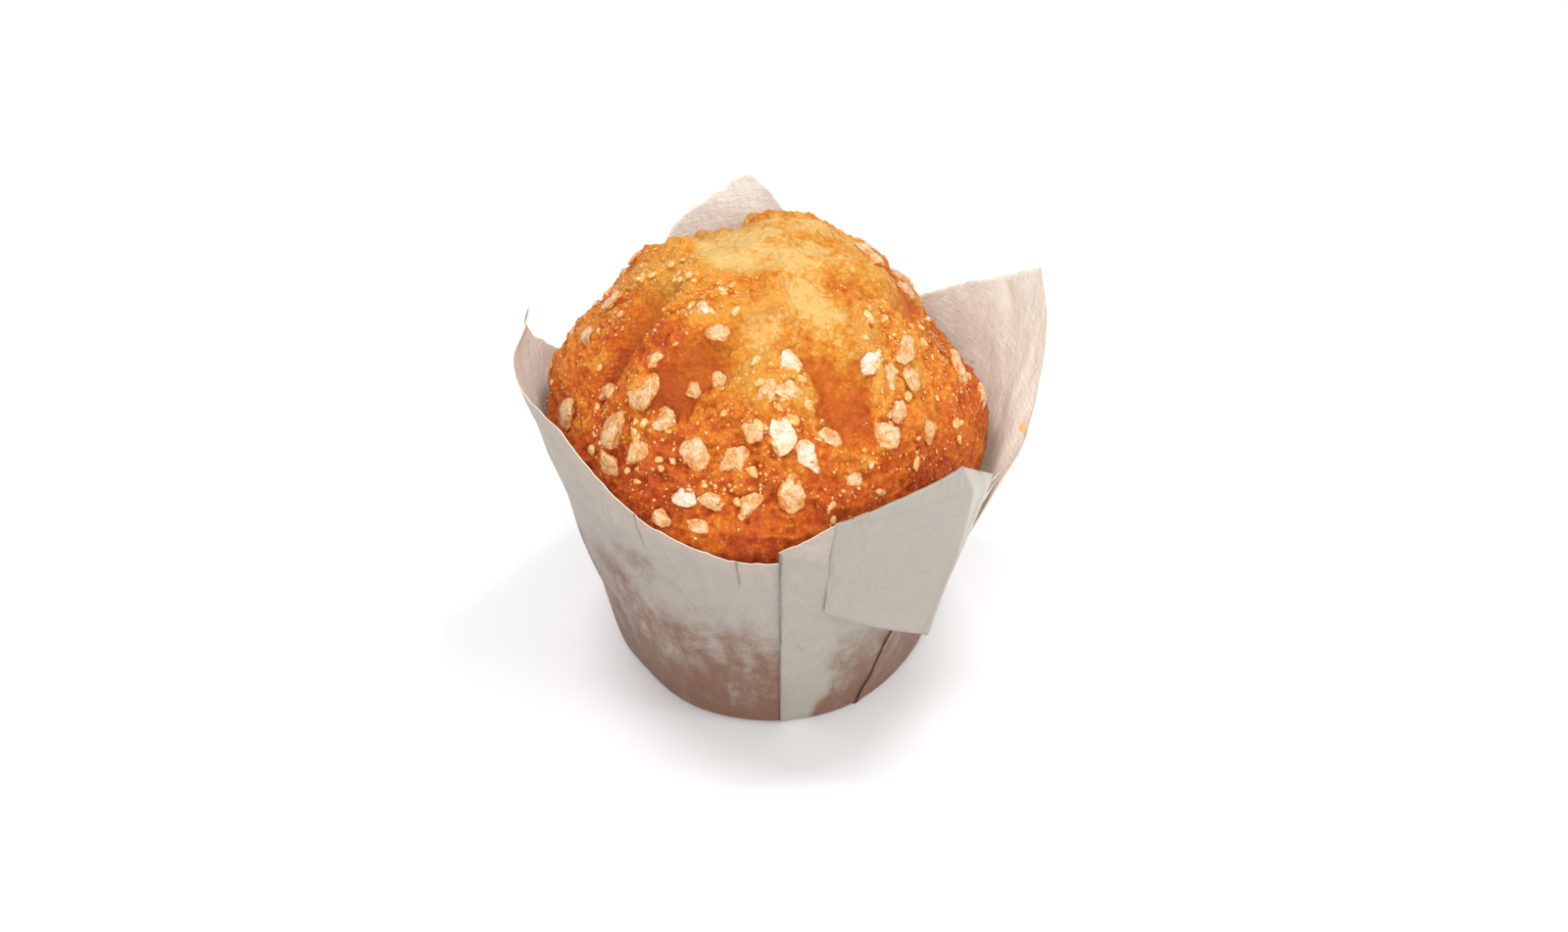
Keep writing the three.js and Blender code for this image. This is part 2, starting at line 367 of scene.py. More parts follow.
def sugar_finish(name, melted, body, frost, glow=0.3):
    """Pearl sugar: clear amber where it melted, frosted white where its crystals stayed whole."""
    f = Finish(name)
    rise = f.attribute("rise")
    veins = f.grain(1.3, 3, 0.6)
    cells = f.cells(0.7)
    shade = rise * 0.7 + (veins - 0.5) * 2.2 + cells * 0.25 - 0.12
    colour = f.ramp(shade, [(0.1, melted), (0.45, body), (0.9, frost)])
    normal = f.bump(cells * 0.8 + f.grain(0.4, 2, 0.6) * 0.6, 0.5)
    return f.finish(
        Base_Color=colour,
        Roughness=0.14 + 0.3 * veins,
        Coat_Weight=0.7,
        Coat_Roughness=0.06,
        Normal=normal,
        Subsurface_Weight=glow,
        Subsurface_Radius=(1.0, 0.7, 0.45),
        Subsurface_Scale=0.0006,
    )


def slit_shade_line(f, bearing, low, waver):
    """Where painted shade goes: 1 on a short tear that runs down from the rim at a bearing to a
    height, 0 beside it.
    """
    off_line = f.attribute("along") - ALONG_PER_DEGREE * bearing + (waver - 0.5) * 2
    beside = abs(off_line).step(0.12, 0.4)
    return (1 - beside) * f.attribute("up").step(low - 1, low + 4)


def paper_finish(name, clean, warm):
    """Greaseproof paper: clean where it stayed dry, warm where grease soaked it, with fine fibres,
    brown fat stains that streak along the sheet, and dark lines of painted shade at the tears in
    the rim. The lighter colours given to the inside and the cut edge are painted light."""
    f = Finish(name)
    stain = f.attribute("stain")
    grease = f.attribute("grease")
    sheet = f.add("CombineXYZ", None, {"X": f.attribute("along"), "Y": f.attribute("up")})
    slanted = f.add("Mapping", None, {"Vector": sheet, "Rotation": (0, 0, 0.6), "Scale": (1, 0.4, 1)})
    streaks = f.noise(slanted, 0.22, 4, 0.6)
    drawn_out = f.add("Mapping", None, {"Vector": sheet, "Scale": (0.3, 1, 1)})
    fibres = f.noise(drawn_out, 1.6, 3, 0.7)
    mottle = f.grain(3.4, 6, 0.74)
    spread = stain * (0.7 + (mottle - 0.5) * 1.7 + (streaks - 0.5) * 1.6)
    foot = stain * (1 - f.attribute("up").step(1, 22)) * 0.5
    blotch = (spread + foot).step(0.0, 1.15)
    shaded = tuple(0.82 * part for part in clean)
    paper = f.mix(fibres.step(0.35, 0.75) * 0.25, clean, shaded)
    paper = f.mix(grease * (0.5 + mottle * 0.6), paper, warm)
    colour = f.mix(blotch * 0.95, paper, (0.165, 0.070, 0.036))
    # A dark line of painted shade down each tear in the rim.
    tear = sum(slit_shade_line(f, bearing, low, streaks) for bearing, low in SLITS)
    colour = f.mix(tear * 0.55, colour, (0.12, 0.075, 0.05))
    normal = f.bump(fibres * 0.15 + streaks, 1.4)
    return f.finish(
        Base_Color=colour,
        Roughness=0.42 + 0.2 * fibres,
        Normal=normal,
        Subsurface_Weight=0.35,
        Subsurface_Radius=(1.0, 0.85, 0.7),
        Subsurface_Scale=0.0012,
    )


# ---- Paper case ----

# Round the sheet, anticlockwise: each pleat is the bearing of its outer fold, how far its layers
# reach to the right of that at a height of 50, and how much the fold leans to the right there.
PLEATS = [(272.2, 18, -1), (301, 12, 23), (411, 20, 0), (502, 20, 0)]
# The rim between one pleat and the next, as bearing and height. Each run starts at its outer fold
# and ends at the inner turn of the next pleat.
RIM_RUNS = [
    [(271, 50.9), (284, 57.5), (293, 59), (305, 60), (318, 60), (321, 50)],
    [
        (309, 36), (318, 36), (326, 37.5), (334, 42), (342, 50), (350, 57), (358, 66), (371, 76),
        (385, 67), (398, 60), (411, 53), (431, 50),
    ],
    [
        (411, 53), (425, 51), (440, 57), (452, 69), (456, 72.5), (466, 68.5), (475, 64.5),
        (488, 54), (502, 50), (522, 48),
    ],
    [
        (502, 50), (515, 51), (525, 59), (529, 66), (534, 71.5), (539, 68), (545, 65), (555, 63.5),
        (565, 64.5), (574, 64.5), (583, 60), (590, 56), (599, 52), (609, 49.5), (620, 47.7),
        (631, 47.9), (649, 46),
    ],
]
PLEAT_HEIGHT = 50  # where the pleats' reach is given
PAPER_THICK = 0.16
TUCKED = 0.06  # the middle layer of a pleat, outside the innermost one
OVERLAP = 2 * PAPER_THICK + 0.12  # the outer layer of a pleat, outside the innermost one
LEAST_REACH = 0.25  # degrees that a pleat still has at the floor
# How far the rim leans out past the cone, as bearing and distance.
FLARE = [
    (11, 1.4), (30, 1.2), (50, 0), (96, 0), (150, 0), (166, 1), (180, 0.8), (190, 1.2), (206, 0),
    (318, 0), (330, 1.6), (344, 3.9), (352, 3.3),
]


def flare(bearing, height, rim):
    """How far the wall leans out past its cone: by bearing, growing over the upper half."""
    places, reach = zip(*FLARE)
    out = np.interp(bearing, places, reach, period=360)
    return out * smoothstep(height, rim / 2, rim)


def cone_radius(height):
    """The wall's outer radius: a quarter round at the foot, then a straight cone."""
    low = BASE_RADIUS + np.sqrt(np.maximum(BASE_FILLET**2 - (BASE_FILLET - height) ** 2, 0))
    return np.where(height < FILLET_TOP, low, FOOT_RADIUS + (height - FILLET_TOP) * WALL_SLOPE)


# Where the soft foot of the case is pressed in, at the front right and a little at the left:
# bearing, width in degrees, depth, and the heights between which it fades out.
DENTS = [(330, 34, 2.2, 16, 42), (212, 20, 1.6, 8, 34)]


def dent(bearing, height):
    """Sum of the dents, inwards: a bell curve round the foot times a fade up the wall."""
    depth = 0
    for middle, width, deep, low, high in DENTS:
        depth = depth + deep * hump(bearing % 360, middle, width) * (1 - smoothstep(height, low, high))
    return -depth


LEFT_PETAL = 180  # its bearing


def bent(bearing, height):
    """The left petal swells out and its tip curls back in: two bell curves round the sheet."""
    around = (bearing % 360) - LEFT_PETAL
    swell = 0.5 * hump(around, 3, 15) * hump(height, 61, 7)
    curl = 4.2 * hump(around, -6, 11) * smoothstep(height, 60, 73)
    return swell - curl


def slit(bearing, height, place, low):
    """A short tear in the rim: one side stands proud of the other, more towards the rim, and falls
    off past the tear by a power of e."""
    past = (bearing % 360) - (place % 360)
    lifted = np.where(past > 0, np.exp(-past / 2.5), 0)
    return 0.4 * lifted * smoothstep(height, low - 2, low + 5)


def pleat_reach(pleat, height):
    """Degrees from a pleat's outer fold to its inner turn: a least reach, plus a part in proportion
    to the height."""
    return LEAST_REACH + PLEATS[pleat % 4][1] * np.maximum(height, 0) / PLEAT_HEIGHT


def pleat_fold(pleat, height):
    """Bearing of a pleat's outer fold, counted on round the sheet, leaning with the height."""
    bearing, _, lean = PLEATS[pleat % 4]
    return bearing + 360 * (pleat // 4) + lean * np.maximum(height, 0) / PLEAT_HEIGHT


# A low ridge in the paper, from the overlap to the lower corner of the folded petal: the bearing
# and height of each end.
SOFT_CREASE = [(271.5, 46), (283.5, 33.5)]


def soft_crease(bearing, height):
    """A bell curve of how far a point is above or below the line between the crease's ends."""
    (start, high), (end, low) = SOFT_CREASE
    fall = (bearing % 360 - start) / (end - start)
    off_line = height - (high - (high - low) * fall)
    return 0.3 * hump(off_line, 0, 1.3) * ((fall > 0) & (fall < 1))


def over_layers(bearing, height):
    """How far the paper stands out over pleats: two layers over each pleat's reach."""
    total = 0
    for pleat in range(4):
        past = (bearing - pleat_fold(pleat, height)) % 360
        reach = pleat_reach(pleat, height)
        total = total + OVERLAP * (1 - smoothstep(past, reach, reach + 5))
    return total * smoothstep(height, -1.5, 1.5)


RUN_COLUMNS = [46, 86, 76, 104]  # grid columns from each pleat to the next
TURN_COLUMNS = 10
TURN_ALONG = 15  # how much further along the sheet the finish counts the turns
WALL_ROWS = 84
FLOOR_ROWS = 7


def run_places(pleat, columns):
    """One run of the sheet and the turn back under the next pleat: for each column, its share of
    the run or turn, whether it is in the turn, and its rim height, found where the column's own
    bearing at the rim meets the rim's outline."""
    share = np.linspace(0, 1, columns, endpoint=False)
    back = np.linspace(0, 1, TURN_COLUMNS, endpoint=False)
    places, heights = zip(*RIM_RUNS[pleat])
    rim = np.full(columns, heights[0])
    for _ in range(6):
        rim = np.interp(run_bearing(pleat, share, 0, rim), places, heights)
    next_start = RIM_RUNS[(pleat + 1) % 4][0][1]
    turn_rim = rim[-1] + (next_start - rim[-1]) * back
    return (
        np.concatenate([share, back]),
        np.concatenate([np.zeros(columns), np.ones(TURN_COLUMNS)]),
        np.concatenate([rim, turn_rim]),
    )


def run_bearing(pleat, share, turned, height):
    """Bearing of each column: forward from this pleat's outer fold to the next one's inner turn,
    then back to the next one's outer fold."""
    start = pleat_fold(pleat, height)
    fold = pleat_fold(pleat + 1, height)
    turn = fold + pleat_reach(pleat + 1, height)
    return np.where(turned > 0, turn + (fold - turn) * share, start + (turn - start) * share)


def run_layer(pleat, share, turned, bearing, height):
    """Radial place of each column among the layers: on top over this pleat, tucked under in the
    turn, innermost where it runs under the next pleat."""
    past = bearing - pleat_fold(pleat, height)
    reach = pleat_reach(pleat, height)
    outer = OVERLAP * (1 - smoothstep(past, reach, reach + 5))
    tucked = TUCKED * np.minimum(share * TURN_COLUMNS, 1)
    return np.where(turned > 0, tucked, outer) * smoothstep(height, -1.5, 1.5)


def cup_points():
    """The cup's grid: rows up the wall from the foot to the rim, columns round the sheet with its
    turns. Radius = cone + flare + bend + dents + slits + crease + layers + crumple. Also gives each
    point's bearing, counted on round the whole sheet, and how far along the sheet it lies."""
    rise = np.linspace(0, 1, WALL_ROWS)[:, None]
    sections, bearings, alongs = [], [], []
    for pleat, columns in enumerate(RUN_COLUMNS):
        share, turned, rim = run_places(pleat, columns)
        bearing_50 = run_bearing(pleat, share, turned, PLEAT_HEIGHT)
        ragged = rim + 0.25 * noise(np.stack([bearing_50, rim * 0, rim * 0], -1), 1.6, 5)
        height = ragged * rise
        bearing = run_bearing(pleat, share, turned, height)
        radius = cone_radius(height) + flare(bearing, height, rim) + bent(bearing, height)
        radius = radius + dent(bearing, height)
        for place, low in SLITS:
            radius = radius + slit(bearing, height, place, low)
        radius = radius + soft_crease(bearing, height)
        radius = radius + run_layer(pleat, share, turned, bearing, height)
        plain = polar(radius, bearing, height)
        free = 0.18 + 0.45 * smoothstep(height, 44, 62)
        folds = 1 - 2 * np.abs(noise(plain * [1, 1, 0.45] + height[..., None] * [0.5, 0, 0], 9, 17))
        crumple = free * rough(plain, 16, 3, 11) + 0.3 * folds
        radius = radius + crumple * smoothstep(height, 0, 6)
        sections.append(polar(radius, bearing, height))
        bearings.append(np.broadcast_to(bearing, radius.shape))
        along = bearing * ALONG_PER_DEGREE + TURN_ALONG * turned
        alongs.append(np.broadcast_to(along, radius.shape))
    return tuple(np.concatenate(parts, axis=1) for parts in (sections, bearings, alongs))


# The folded petal, at its two ends from the crease down to the free edge: bearing, distance that it
# stands proud of the wall, and height.
FLAP_LEFT = [(284, 0.25, 57), (283.5, 0.3, 46), (283.5, 0.4, 33.5)]
FLAP_RIGHT = [(326, 2.2, 54), (321, 3.2, 44), (317, 4.2, 34), (313, 5.6, 22)]
FLAP_TOP = (284, 318)  # bearings between which the crease runs along the rim
FLAP_BEND = 0.72  # where along the crease the flap's right margin bends back
FLAP_BEND_FOOT = 0.99  # and where along the flap the bend is, further down
FLAP_BEND_RISE = 3.0  # how far the bend stands out past the flap's ends
MARGIN_TURN = 18  # degrees that the top of the margin reaches past the crease
MARGIN_DROP = 11  # how far it falls below the crease on the way
FLAP_COLUMNS = 70
FLAP_ROWS = 50


def flap_points():
    """The folded petal: a first row on the wall behind the crease, then rows from the crease to the
    free edge, each point between the two ends and standing proud of the wall under it. Also 1 where
    a point is on the bent margin."""
    along = np.linspace(0, 1, FLAP_COLUMNS)[None, :]
    down = np.linspace(0, 1, FLAP_ROWS)[:, None]

    def end(points):
        """Bearing, distance and height down one end, in straight lines between its points."""
        spots = np.linspace(0, 1, len(points))
        return [np.interp(down, spots, values) for values in zip(*points)]

    left, right = end(FLAP_LEFT), end(FLAP_RIGHT)
    bearing, proud, height = (a + (b - a) * along for a, b in zip(left, right))
    crease_start, crease_end = FLAP_TOP
    crease_bearing = crease_start + (crease_end - crease_start) * np.minimum(along / FLAP_BEND, 1)
    crease = np.interp(crease_bearing, *zip(*RIM_RUNS[0]))
    bend = FLAP_BEND + (FLAP_BEND_FOOT - FLAP_BEND) * smoothstep(down, 0, 0.65)
    margin = np.maximum(along - FLAP_BEND, 0) / (1 - FLAP_BEND)
    top_bearing = crease_bearing + MARGIN_TURN * margin
    top_height = crease + 0.1 - MARGIN_DROP * margin
    near_top = (1 - down) ** 3
    bearing = bearing + (top_bearing - bearing) * near_top
    height = height + (top_height - height) * near_top
    ridge = np.minimum(along / bend, (1 - along) / (1 - bend)) * (1 - bend) / (1 - FLAP_BEND)
    proud = proud * (1 - near_top) + (0.35 + 0.5 * margin) * near_top
    proud = proud + FLAP_BEND_RISE * ridge * smoothstep(down, 0, 0.15)
    proud = proud - 0.25 * (1 - smoothstep(along, 0, 0.06))
    wall = cone_radius(height) + over_layers(bearing, height)
    sway = 0.35 * noise(polar(wall, bearing, height), 14, 91) * smoothstep(down, 0.05, 0.4)
    outer = polar(wall + proud + sway, bearing, height)
    root_height = crease - 1.2
    root_wall = cone_radius(root_height) + over_layers(crease_bearing, root_height)
    root = polar(root_wall + 0.05, crease_bearing, root_height)
    crest = polar(root_wall + 0.3, crease_bearing, crease + 0.15)
    facet = np.broadcast_to(smoothstep(along, bend - 0.01, bend + 0.01), outer.shape[:2])
    return np.concatenate([root, crest, outer], axis=0), np.concatenate([facet[:1], facet[:1], facet])


# How high the fat stain climbs, as bearing counted on round the sheet and height.
STAIN_TOP = [
    (271, -6), (282, -4), (290, 22), (300, 26), (318, 26), (340, 30), (372, 34), (420, 33),
    (470, 30), (520, 33), (550, 34), (575, 43), (590, 45), (605, 38), (620, 33), (631, 33),
]


def stain_on(points, bearing):
    """Fat stain from 0 to 1: below a height that changes with bearing, with a soft ragged edge."""
    top = np.interp(bearing, *zip(*STAIN_TOP))
    edge = top + 8 * rough(points, 10, 3, 31) - points[..., 2]
    return smoothstep(edge, -8, 16)


def paper_case():
    """The case in one piece: a floor of rings that shrink to the middle, the cup and the folded
    petal, with the paper's thickness added inwards."""
    cup, bearing, cup_along = cup_points()
    columns = cup.shape[1]
    foot_bearing = np.degrees(np.arctan2(cup[0, :, 1], cup[0, :, 0]))
    floor_rise = np.linspace(0.12, 1, FLOOR_ROWS, endpoint=False)[:, None]
    foot_radius = np.hypot(cup[0, :, 0], cup[0, :, 1])
    floor = polar(foot_radius * floor_rise, foot_bearing[None, :], 0)
    body = np.concatenate([floor, cup], axis=0)
    flap, margin = flap_points()
    points = np.concatenate([body.reshape(-1, 3), [[0, 0, 0]], flap.reshape(-1, 3)])
    pole = body.shape[0] * columns
    faces = [
        grid_faces(body.shape[0], columns, True),
        grid_faces(flap.shape[0], flap.shape[1], False) + pole + 1,
    ]
    fan = fan_faces(np.arange(columns), pole, False)
    sheet_bearing = np.concatenate([np.repeat(bearing[:1], FLOOR_ROWS, axis=0), bearing])
    stain = np.zeros(len(points))
    stain[:pole] = stain_on(body, sheet_bearing).ravel()
    # Grease soaked the whole case, but only a little of the folded petal's bent margin.
    grease = np.ones(len(points))
    grease[pole + 1 :] = 0.3 * margin.ravel()
    along = points[:, 0].copy()
    along[FLOOR_ROWS * columns : pole] = cup_along.ravel()
    attributes = {"stain": stain, "grease": grease, "along": along, "up": points[:, 2]}
    outside = paper_finish("paper_outside", (0.48, 0.445, 0.40), (0.305, 0.262, 0.218))
    # The inside is painted far lighter than the outside where grease soaked it: painted light shining
    # through the sheet onto its inner face.
    inside = paper_finish("paper_inside_painted_light", (0.345, 0.31, 0.265), (0.93, 0.88, 0.765))
    # The cut edges of the sheet are painted much lighter than its faces: a painted highlight along the
    # edges.
    edge = paper_finish("paper_edge_painted_highlight", (0.86, 0.78, 0.66), (0.90, 0.76, 0.58))
    piece = make_piece("tulip_case", points, [*faces, fan], [outside, inside, edge], attributes)
    wall = piece.modifiers.new("paper", "SOLIDIFY")
    wall.thickness = PAPER_THICK * MM
    wall.offset = -1
    wall.material_offset = 1
    wall.material_offset_rim = 2
    settle(piece, "baking_paper", "paper_case")


# ---- Muffin ----

# Swellings and hollows: middle in x and y, length, width, the bearing it runs along, and height.
CRUST_RELIEF = [
    (0, -25, 9, 5, 0, 2.5),
    (-11, -21, 10, 6, 15, -2.4),
    (8, -20, 10, 5, 315, -2.4),
    (-25, -8, 9, 4.5, 40, -2.6),
    (-23, -15, 10, 4, 40, 1.2),
    (14, -15, 10, 4, 300, 1.6),
    (2, 13, 9, 10, 0, 3),
    (3, 0, 7, 2.5, 105, 1.2),
    (12, 5, 6, 3, 50, 1),
    (-8, 3, 7, 2.5, 15, 1.1),
    (-21, 10, 9, 8, 0, 2.4),
    (20, 9, 8, 6, 20, 1),
    (30, 9, 8, 5, 90, -2.2),
    (-37, 0, 9, 5, 90, 3.2),
    (37, -3, 9, 5, 90, 2.8),
    (6, 24, 9, 6, 0, 1.6),
    (-14, 25, 9, 5, 30, -1.8),
    (20, 24, 9, 5, 330, -1.8),
]
# Where the dome cracked open and its smooth inside shows: from x, y to x, y, half width and depth.
CRACKS = [
    (-5, 6, 18, 5, 8.5, 0.3),
    (6, -6, 12, -24, 5.2, 1.5),
    (1, -15, -18, -21.5, 4.2, 1.6),
    (-21, -3, -29, -12, 3.4, 1.8),
    (-8, 17, -10, 31, 3.6, 1.4),
    (-13, 12, -28, 20, 3.6, 1.5),
    (20, 12, 31, 19, 3.4, 1.5),
]
EQUATOR_HOLD = 14  # the power of the radius by which relief fades out at the equator
CASE_HOLD = 52  # height up to which the case holds the crust in
CRUST_COLUMNS = 460
UNDERSIDE_ROWS = 8
BELLY_ROWS = 26
DOME_ROWS = 184


def relief(x, y):
    """Sum of bell-shaped swellings, each long one way and narrow the other."""
    total = 0
    for middle_x, middle_y, length, width, bearing, out in CRUST_RELIEF:
        cos, sin = math.cos(math.radians(bearing)), math.sin(math.radians(bearing))
        along = (x - middle_x) * cos + (y - middle_y) * sin
        across = (y - middle_y) * cos - (x - middle_x) * sin
        total = total + out * np.exp(-((along / length) ** 2) - (across / width) ** 2)
    return total


def cracks(points):
    """How far inside a crack each point is (0 to 1), how deep that cuts, and the lip beside it.
    The distance to each crack's centre line is warped by noise, so that its edges are ragged."""
    x = points[..., 0] + 1.1 * rough(points, 4, 2, 21) + 0.6 * noise(points, 1.7, 27)
    y = points[..., 1] + 1.1 * rough(points, 4, 2, 24) + 0.6 * noise(points, 1.7, 28)
    open_share, depth, lip = 0, 0, 0
    for x0, y0, x1, y1, half, deep in CRACKS:
        run = np.array([x1 - x0, y1 - y0])
        share = np.clip(((x - x0) * run[0] + (y - y0) * run[1]) / (run @ run), 0, 1)
        gap = np.hypot(x - x0 - share * run[0], y - y0 - share * run[1])
        open_share = np.maximum(open_share, smoothstep(half - gap, -1.3, 1.5))
        depth = np.maximum(depth, deep * smoothstep(half - gap, -1, 2.2))
        lip = np.maximum(lip, 0.7 * deep * hump(gap, half + 1.6, 1.5))
    return open_share, depth, lip * (1 - open_share)


def crust_profile():
    """Radius and height up the muffin: its underside, the wall the case moulded, and the dome, a
    quarter of an oval whose sine and cosine are raised to powers."""
    rings = np.linspace(2, BASE_RADIUS, UNDERSIDE_ROWS)
    underside = np.stack([rings, np.full(UNDERSIDE_ROWS, PAPER_ROOM)], -1)
    level = np.linspace(PAPER_ROOM + 1.4, EQUATOR_HEIGHT, BELLY_ROWS)
    belly = np.stack([np.minimum(cone_radius(level) - PAPER_ROOM, EQUATOR_RADIUS), level], -1)
    climb = np.linspace(0, 1, DOME_ROWS + 1)[1:-1] ** 0.9
    out = np.cos(climb * np.pi / 2)
    up = (1 - out**DOME_BOW) ** (1 / DOME_LIFT)
    dome = np.stack([EQUATOR_RADIUS * out, EQUATOR_HEIGHT + DOME_HEIGHT * up], -1)
    return np.concatenate([underside, belly, dome])


def raise_crust(radius, bearing, height):
    """Crust points and what their finish needs. Each plain point moves outwards by relief, cracks,
    lumps and grit; grit fades in the cracks and the relief fades at the equator. Where the case
    holds it, the crust is then drawn in to the room that the case leaves."""
    rise = smoothstep(height, EQUATOR_HEIGHT / 2, EQUATOR_HEIGHT)
    plain = polar(radius, bearing, height)
    plain = plain + rise[..., None] * np.array([*MUFFIN_SHIFT, 0])
    steep = np.clip(radius / EQUATOR_RADIUS, 0, 1)
    outward = polar(steep, bearing, np.sqrt(1 - steep**2))
    on_dome = height > EQUATOR_HEIGHT
    hold = np.where(on_dome, 1 - steep**EQUATOR_HOLD, 0)
    bare, depth, lip = cracks(plain)
    seen = smoothstep(height, 40, 47)
    lumps = 0.75 * rough(plain, 7, 2, 41)
    ridges = 1 - 2 * np.abs(noise(plain, 2.8, 51))
    beads = 1 - 2 * np.abs(noise(plain, 1.5, 52))
    grit = (0.5 * ridges + 0.42 * beads + 0.22 * noise(plain, 0.9, 54)) * (1 - 0.66 * bare)
    out = hold * (relief(plain[..., 0], plain[..., 1]) - depth + 0.6 * lip) + seen * (lumps + grit)
    points = plain + outward * out[..., None]
    reach = np.hypot(points[..., 0], points[..., 1])
    around = np.degrees(np.arctan2(points[..., 1], points[..., 0]))
    low = np.minimum(points[..., 2], CASE_HOLD)
    room = cone_radius(low) + dent(around, low) - PAPER_ROOM * 0.8
    held = np.where(height < CASE_HOLD, np.minimum(reach, room), reach)
    points[..., :2] *= (held / np.maximum(reach, 1e-6))[..., None]
    return points, bare, lip, grit


def spot_share(points, x, y, radius):
    """A round bell curve seen from above: exp of minus the square of the distance over the radius."""
    return np.exp(-((points[..., 0] - x) ** 2 + (points[..., 1] - y) ** 2) / radius**2)


# Where the crust browned more or less than round it: x, y, radius and how much.
BROWNED = [
    (13, -2, 4.5, 0.4), (-20, -27, 13, 0.25), (-28, -14, 9, 0.12), (31, -13, 12, -0.2),
    (-5, -20, 5, -0.3), (-15, 4, 8, -0.1), (10, 9, 5, 0.15),
]


def browning_and_crack_shade_of(points, bare, lip, grit):
    """How brown the crust is, 0 to 1, with painted shade in it: most at the shoulder and less up the
    dome. Cracks are pale on the crown and orange lower down, partly from browning and partly as
    painted shade deep in the cracks, and their lips are brown in places."""
    height = points[..., 2]
    shoulder = 1 - smoothstep(height, 50, 84)
    patches = rough(points, 12, 2, 61)
    # Dips between the grit are darker and raised grit paler: painted shade in the crevices.
    plate = 0.22 + 0.6 * shoulder + 0.22 * patches + 0.3 * lip * patches - 0.3 * grit
    # Lower down, the cracks' darker orange is partly painted shade.
    crumb = 0.04 + 0.85 * (1 - smoothstep(height, 66, 84)) + 0.12 * patches
    bake = plate + (crumb - plate) * bare
    for x, y, radius, more in BROWNED:
        bake = bake + more * spot_share(points, x, y, radius)
    return bake


def muffin_body():
    """The muffin: rings up its profile, closed by a fan at the bottom and one at the top. Gives
    back the crust's points and how far inside a crack each one is."""
    profile = crust_profile()
    bearing = np.arange(CRUST_COLUMNS) * 360 / CRUST_COLUMNS
    radius, height, bearing = np.broadcast_arrays(
        profile[:, 0, None], profile[:, 1, None], bearing[None, :]
    )
    points, bare, lip, grit = raise_crust(radius, bearing, height)
    bake = browning_and_crack_shade_of(points, bare, lip, grit)
    rows, columns = radius.shape
    count = rows * columns
    top = points[-1].mean(axis=0)
    all_points = np.concatenate([points.reshape(-1, 3), [[0, 0, PAPER_ROOM]], [top]])
    faces = [
        grid_faces(rows, columns, True),
        fan_faces(np.arange(columns), count, False),
        fan_faces(np.arange(columns) + (rows - 1) * columns, count + 1, True),
    ]
    attributes = {
        "hollow": np.append(bare.ravel(), [0, 1]),
        "bake": np.append(bake.ravel(), [0.5, bake[-1].mean()]),
    }
    piece = make_piece("muffin_body", all_points, faces, [crust_finish()], attributes)
    settle(piece, "crust", "muffin")
    return points, bare


# ---- Pearl sugar ----

NIB_SEED = 7
NIB_FACETS = 15
NIB_KNOBS = 16
NIB_SWELL = 1.27  # a nib's radius over the mean radius of its CAD node
NIB_LIFT = 0.05  # how far out of the crust a nib's middle sits, over the same radius
WHITE_NIBS = {"10", "17", "21", "23", "24"}  # last digits of the names of nibs that didn't melt
GRAIN_SEED = 19
GRAIN_FACETS = 9
# Where fine sugar lies thickest: x, y and radius.
FROSTED = [(-13, -3, 8), (0, -24, 7), (-27, 3, 8), (17, -18, 6), (27, -2, 7), (-20, -22, 6)]
CRUMB_SEED = 3
CRUMB_RADIUS = 0.9
CRUMB_PLACE = (46.4, 346.5, 54.5)  # radius, bearing and height


def icosphere(levels):
    """Unit icosphere: directions and triangles, each level splitting every triangle in four."""
    golden = (1 + math.sqrt(5)) / 2
    points = np.array(
        [(-1, golden, 0), (1, golden, 0), (-1, -golden, 0), (1, -golden, 0)]
        + [(0, -1, golden), (0, 1, golden), (0, -1, -golden), (0, 1, -golden)]
        + [(golden, 0, -1), (golden, 0, 1), (-golden, 0, -1), (-golden, 0, 1)],
        float,
    )
    faces = np.array(
        [(0, 11, 5), (0, 5, 1), (0, 1, 7), (0, 7, 10), (0, 10, 11)]
        + [(1, 5, 9), (5, 11, 4), (11, 10, 2), (10, 7, 6), (7, 1, 8)]
        + [(3, 9, 4), (3, 4, 2), (3, 2, 6), (3, 6, 8), (3, 8, 9)]
        + [(4, 9, 5), (2, 4, 11), (6, 2, 10), (8, 6, 7), (9, 8, 1)]
    )
    points = unit(points)
    for _ in range(levels):
        sides = [faces[:, [0, 1]], faces[:, [1, 2]], faces[:, [2, 0]]]
        edges = np.sort(np.concatenate(sides), axis=1)
        unique, place = np.unique(edges, axis=0, return_inverse=True)
        middles = unit(points[unique].mean(axis=1))
        a, b, c = place.reshape(3, -1) + len(points)
        v0, v1, v2 = faces.T
        points = np.concatenate([points, middles])
        faces = np.concatenate(
            [np.stack(t, -1) for t in ((v0, a, c), (v1, b, a), (v2, c, b), (a, b, c))]
        )
    return points, faces


def grain_radius(directions, facets, sizes, sharpness):
    """Radius of a worn crystal in each direction: the p-norm of its facets, which rounds a solid
    whose planes lie at the given distances."""
    toward = np.maximum(directions @ facets.T, 0) / sizes
    return (toward**sharpness).sum(axis=-1) ** (-1 / sharpness)


def random_axes(draw, outward):
    """Three axes at right angles, the third along outward and the others turned at random."""
    side = unit(np.cross(outward, draw.normal(size=3)))
    return np.stack([side, np.cross(outward, side), outward])


